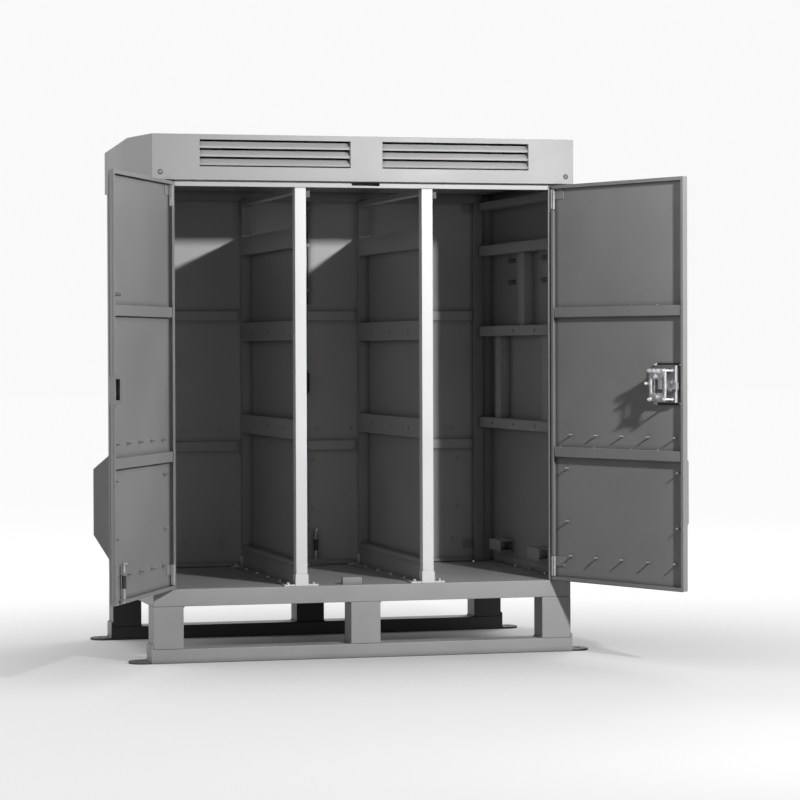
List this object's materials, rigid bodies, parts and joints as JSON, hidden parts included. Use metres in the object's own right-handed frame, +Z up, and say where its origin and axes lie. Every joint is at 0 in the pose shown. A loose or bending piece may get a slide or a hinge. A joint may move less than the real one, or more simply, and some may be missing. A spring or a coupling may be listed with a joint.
{
  "type": "roadside utility cabinet",
  "caption": "Sheet-metal equipment cabinet on a fork-lift skid, with divided bays, a louvred ridge hood and latched double doors at the front and rear.",
  "frame": {"origin": "on the ground, at the centre of the four anchor holes under the cabinet", "axes": "+X to the right of someone facing the front, the front faces -Y, +Z up"},
  "size_m": [2.0542, 1.7169, 1.855],
  "materials": {
    "shell_paint": "light grey powder coat, slightly dusty",
    "inner_paint": "light grey powder coat, in shade",
    "skid_paint": "grey paint, scuffed and dusty low down",
    "zinc_plate": "bright zinc plate",
    "black_rubber": "matt black rubber"
  },
  "bodies": {
    "cabinet": {"skid_rails": "skid_paint", "skid_legs": "skid_paint", "anchor_feet": "skid_paint", "floor_pan": "shell_paint", "left_wall": "shell_paint", "right_wall": "shell_paint", "front_header": "shell_paint", "rear_header": "shell_paint", "ceiling_panel": "inner_paint", "roof_hood": "shell_paint", "front_louvres": "shell_paint", "hood_screws": "zinc_plate", "divider_front_posts": "inner_paint", "divider_rear_posts": "inner_paint", "divider_bars": "inner_paint", "divider_panels": "inner_paint", "divider_kicks": "inner_paint", "post_feet": "inner_paint", "side_wall_rails": "inner_paint", "wall_struts": "inner_paint", "side_sockets": "inner_paint", "floor_stops": "inner_paint", "bolt_strikes": "zinc_plate", "floor_bolts": "zinc_plate", "hinge_brackets": "zinc_plate"},
    "front_left_door": {"front_left_door": "shell_paint", "front_left_stiffeners": "shell_paint", "front_left_vent_hood": "shell_paint", "front_left_hinges": "zinc_plate", "front_keeper": "zinc_plate", "front_slide_brackets": "zinc_plate"},
    "front_right_door": {"front_right_door": "shell_paint", "front_right_stiffeners": "shell_paint", "front_right_vent_hood": "shell_paint", "front_right_hinges": "zinc_plate", "front_latch_dish": "zinc_plate", "front_latch_gasket": "black_rubber", "front_latch_guide": "zinc_plate"},
    "rear_left_door": {"rear_left_door": "shell_paint", "rear_left_stiffeners": "shell_paint", "rear_left_vent_hood": "shell_paint", "rear_left_hinges": "zinc_plate", "rear_latch_dish": "zinc_plate", "rear_latch_gasket": "black_rubber", "rear_latch_guide": "zinc_plate"},
    "rear_right_door": {"rear_right_door": "shell_paint", "rear_right_stiffeners": "shell_paint", "rear_right_vent_hood": "shell_paint", "rear_right_hinges": "zinc_plate", "rear_keeper": "zinc_plate", "rear_slide_brackets": "zinc_plate"},
    "front_latch_handle": {"front_latch_handle": "zinc_plate"},
    "front_latch_bolt": {"front_latch_bolt": "zinc_plate"},
    "rear_latch_handle": {"rear_latch_handle": "zinc_plate"},
    "rear_latch_bolt": {"rear_latch_bolt": "zinc_plate"},
    "front_bottom_bolt": {"front_bottom_bolt": "zinc_plate"},
    "front_top_bolt": {"front_top_bolt": "zinc_plate"},
    "rear_bottom_bolt": {"rear_bottom_bolt": "zinc_plate"},
    "rear_top_bolt": {"rear_top_bolt": "zinc_plate"}
  },
  "joints": [
    {"name": "front_left_door_hinge", "type": "hinge", "parent": "cabinet", "child": "front_left_door", "pos_m": [-0.692, -0.493, 0.261], "axis": [0, 0, -1], "range_deg": [-116.5, 3.5]},
    {"name": "front_right_door_hinge", "type": "hinge", "parent": "cabinet", "child": "front_right_door", "pos_m": [0.692, -0.493, 0.261], "axis": [0, 0, 1], "range_deg": [-112.5, 7.5]},
    {"name": "rear_left_door_hinge", "type": "hinge", "parent": "cabinet", "child": "rear_left_door", "pos_m": [-0.692, 0.493, 0.261], "axis": [0, 0, 1], "range_deg": [0, 120]},
    {"name": "rear_right_door_hinge", "type": "hinge", "parent": "cabinet", "child": "rear_right_door", "pos_m": [0.692, 0.493, 0.261], "axis": [0, 0, -1], "range_deg": [0, 120]},
    {"name": "front_latch_turn", "type": "hinge", "parent": "front_right_door", "child": "front_latch_handle", "pos_m": [0.92257, -1.04964, 0.966], "axis": [0.9239, 0.3827, 0], "range_deg": [0, 90]},
    {"name": "front_latch_throw", "type": "slide", "parent": "front_right_door", "child": "front_latch_bolt", "axis": [0.3827, -0.9239, 0], "range_m": [-0.0001, 0.02838]},
    {"name": "rear_latch_turn", "type": "hinge", "parent": "rear_left_door", "child": "rear_latch_handle", "pos_m": [-0.0895, 0.493, 0.966], "axis": [0, 1, 0], "range_deg": [0, 90]},
    {"name": "rear_latch_throw", "type": "slide", "parent": "rear_left_door", "child": "rear_latch_bolt", "axis": [1, 0, 0], "range_m": [-0.0001, 0.02838]},
    {"name": "front_bottom_bolt_slide", "type": "slide", "parent": "front_left_door", "child": "front_bottom_bolt", "axis": [0, 0, 1], "range_m": [-0.024, 0]},
    {"name": "front_top_bolt_slide", "type": "slide", "parent": "front_left_door", "child": "front_top_bolt", "axis": [0, 0, 1], "range_m": [0, 0.02]},
    {"name": "rear_bottom_bolt_slide", "type": "slide", "parent": "rear_right_door", "child": "rear_bottom_bolt", "axis": [0, 0, 1], "range_m": [-0.024, 0]},
    {"name": "rear_top_bolt_slide", "type": "slide", "parent": "rear_right_door", "child": "rear_top_bolt", "axis": [0, 0, 1], "range_m": [0, 0.02]}
  ],
  "couplings": [
    {"joint": "front_latch_throw", "follows": "front_latch_turn", "m_per_rad": 0.018006},
    {"joint": "rear_latch_throw", "follows": "rear_latch_turn", "m_per_rad": 0.018006}
  ]
}
